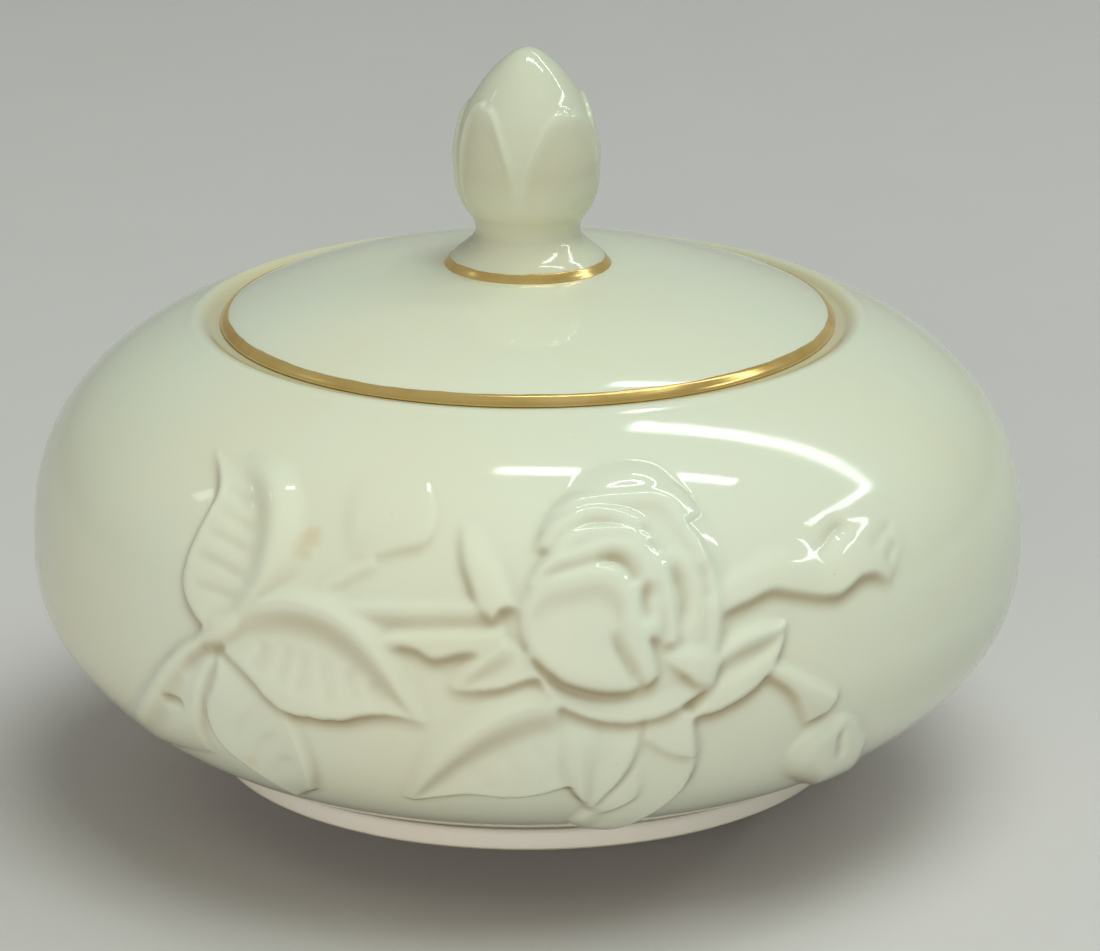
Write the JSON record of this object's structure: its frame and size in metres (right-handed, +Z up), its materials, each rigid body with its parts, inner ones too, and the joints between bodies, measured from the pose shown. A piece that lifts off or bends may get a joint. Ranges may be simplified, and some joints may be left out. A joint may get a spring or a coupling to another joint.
{
  "type": "lidded trinket box",
  "caption": "Squat round porcelain trinket box with a rose spray in low relief, a foot ring, and a lift-off domed lid with a gilded rim and a rosebud knob.",
  "frame": {"origin": "centre of the foot ring's resting face, on the box's axis", "axes": "+Z up along the axis of the bowl and lid, -Y towards the front with the rose, +X to the right of the front"},
  "size_m": [0.127, 0.1296, 0.0918],
  "materials": {
    "porcelain": "gloss",
    "relief_glaze": "gloss",
    "flange_glaze": "gloss",
    "foot_biscuit": "satin",
    "gilding": "gloss"
  },
  "bodies": {
    "bowl": {"bowl_shell": "porcelain", "foot_ring": "foot_biscuit", "rose_front": "relief_glaze", "rose_back": "relief_glaze", "left_spray_front": "relief_glaze", "left_spray_back": "relief_glaze", "lower_leaves_front": "relief_glaze", "lower_leaves_back": "relief_glaze", "bud_spray_front": "relief_glaze", "bud_spray_back": "relief_glaze"},
    "lid_ring": {"lid_flange": "flange_glaze"},
    "lid": {"lid_dome": "porcelain", "lid_rim_gilding": "gilding", "knob_neck": "porcelain", "knob_gilding": "gilding", "knob_bud": "porcelain", "knob_petals": "porcelain"}
  },
  "joints": [
    {"name": "lid_lift", "type": "slide", "parent": "bowl", "child": "lid_ring", "axis": [0, 0, 1], "range_m": [0, 0.07]},
    {"name": "lid_turn", "type": "hinge", "parent": "lid_ring", "child": "lid", "pos_m": [0, 0, 0.0565], "axis": [0, 0, 1], "continuous": true}
  ]
}
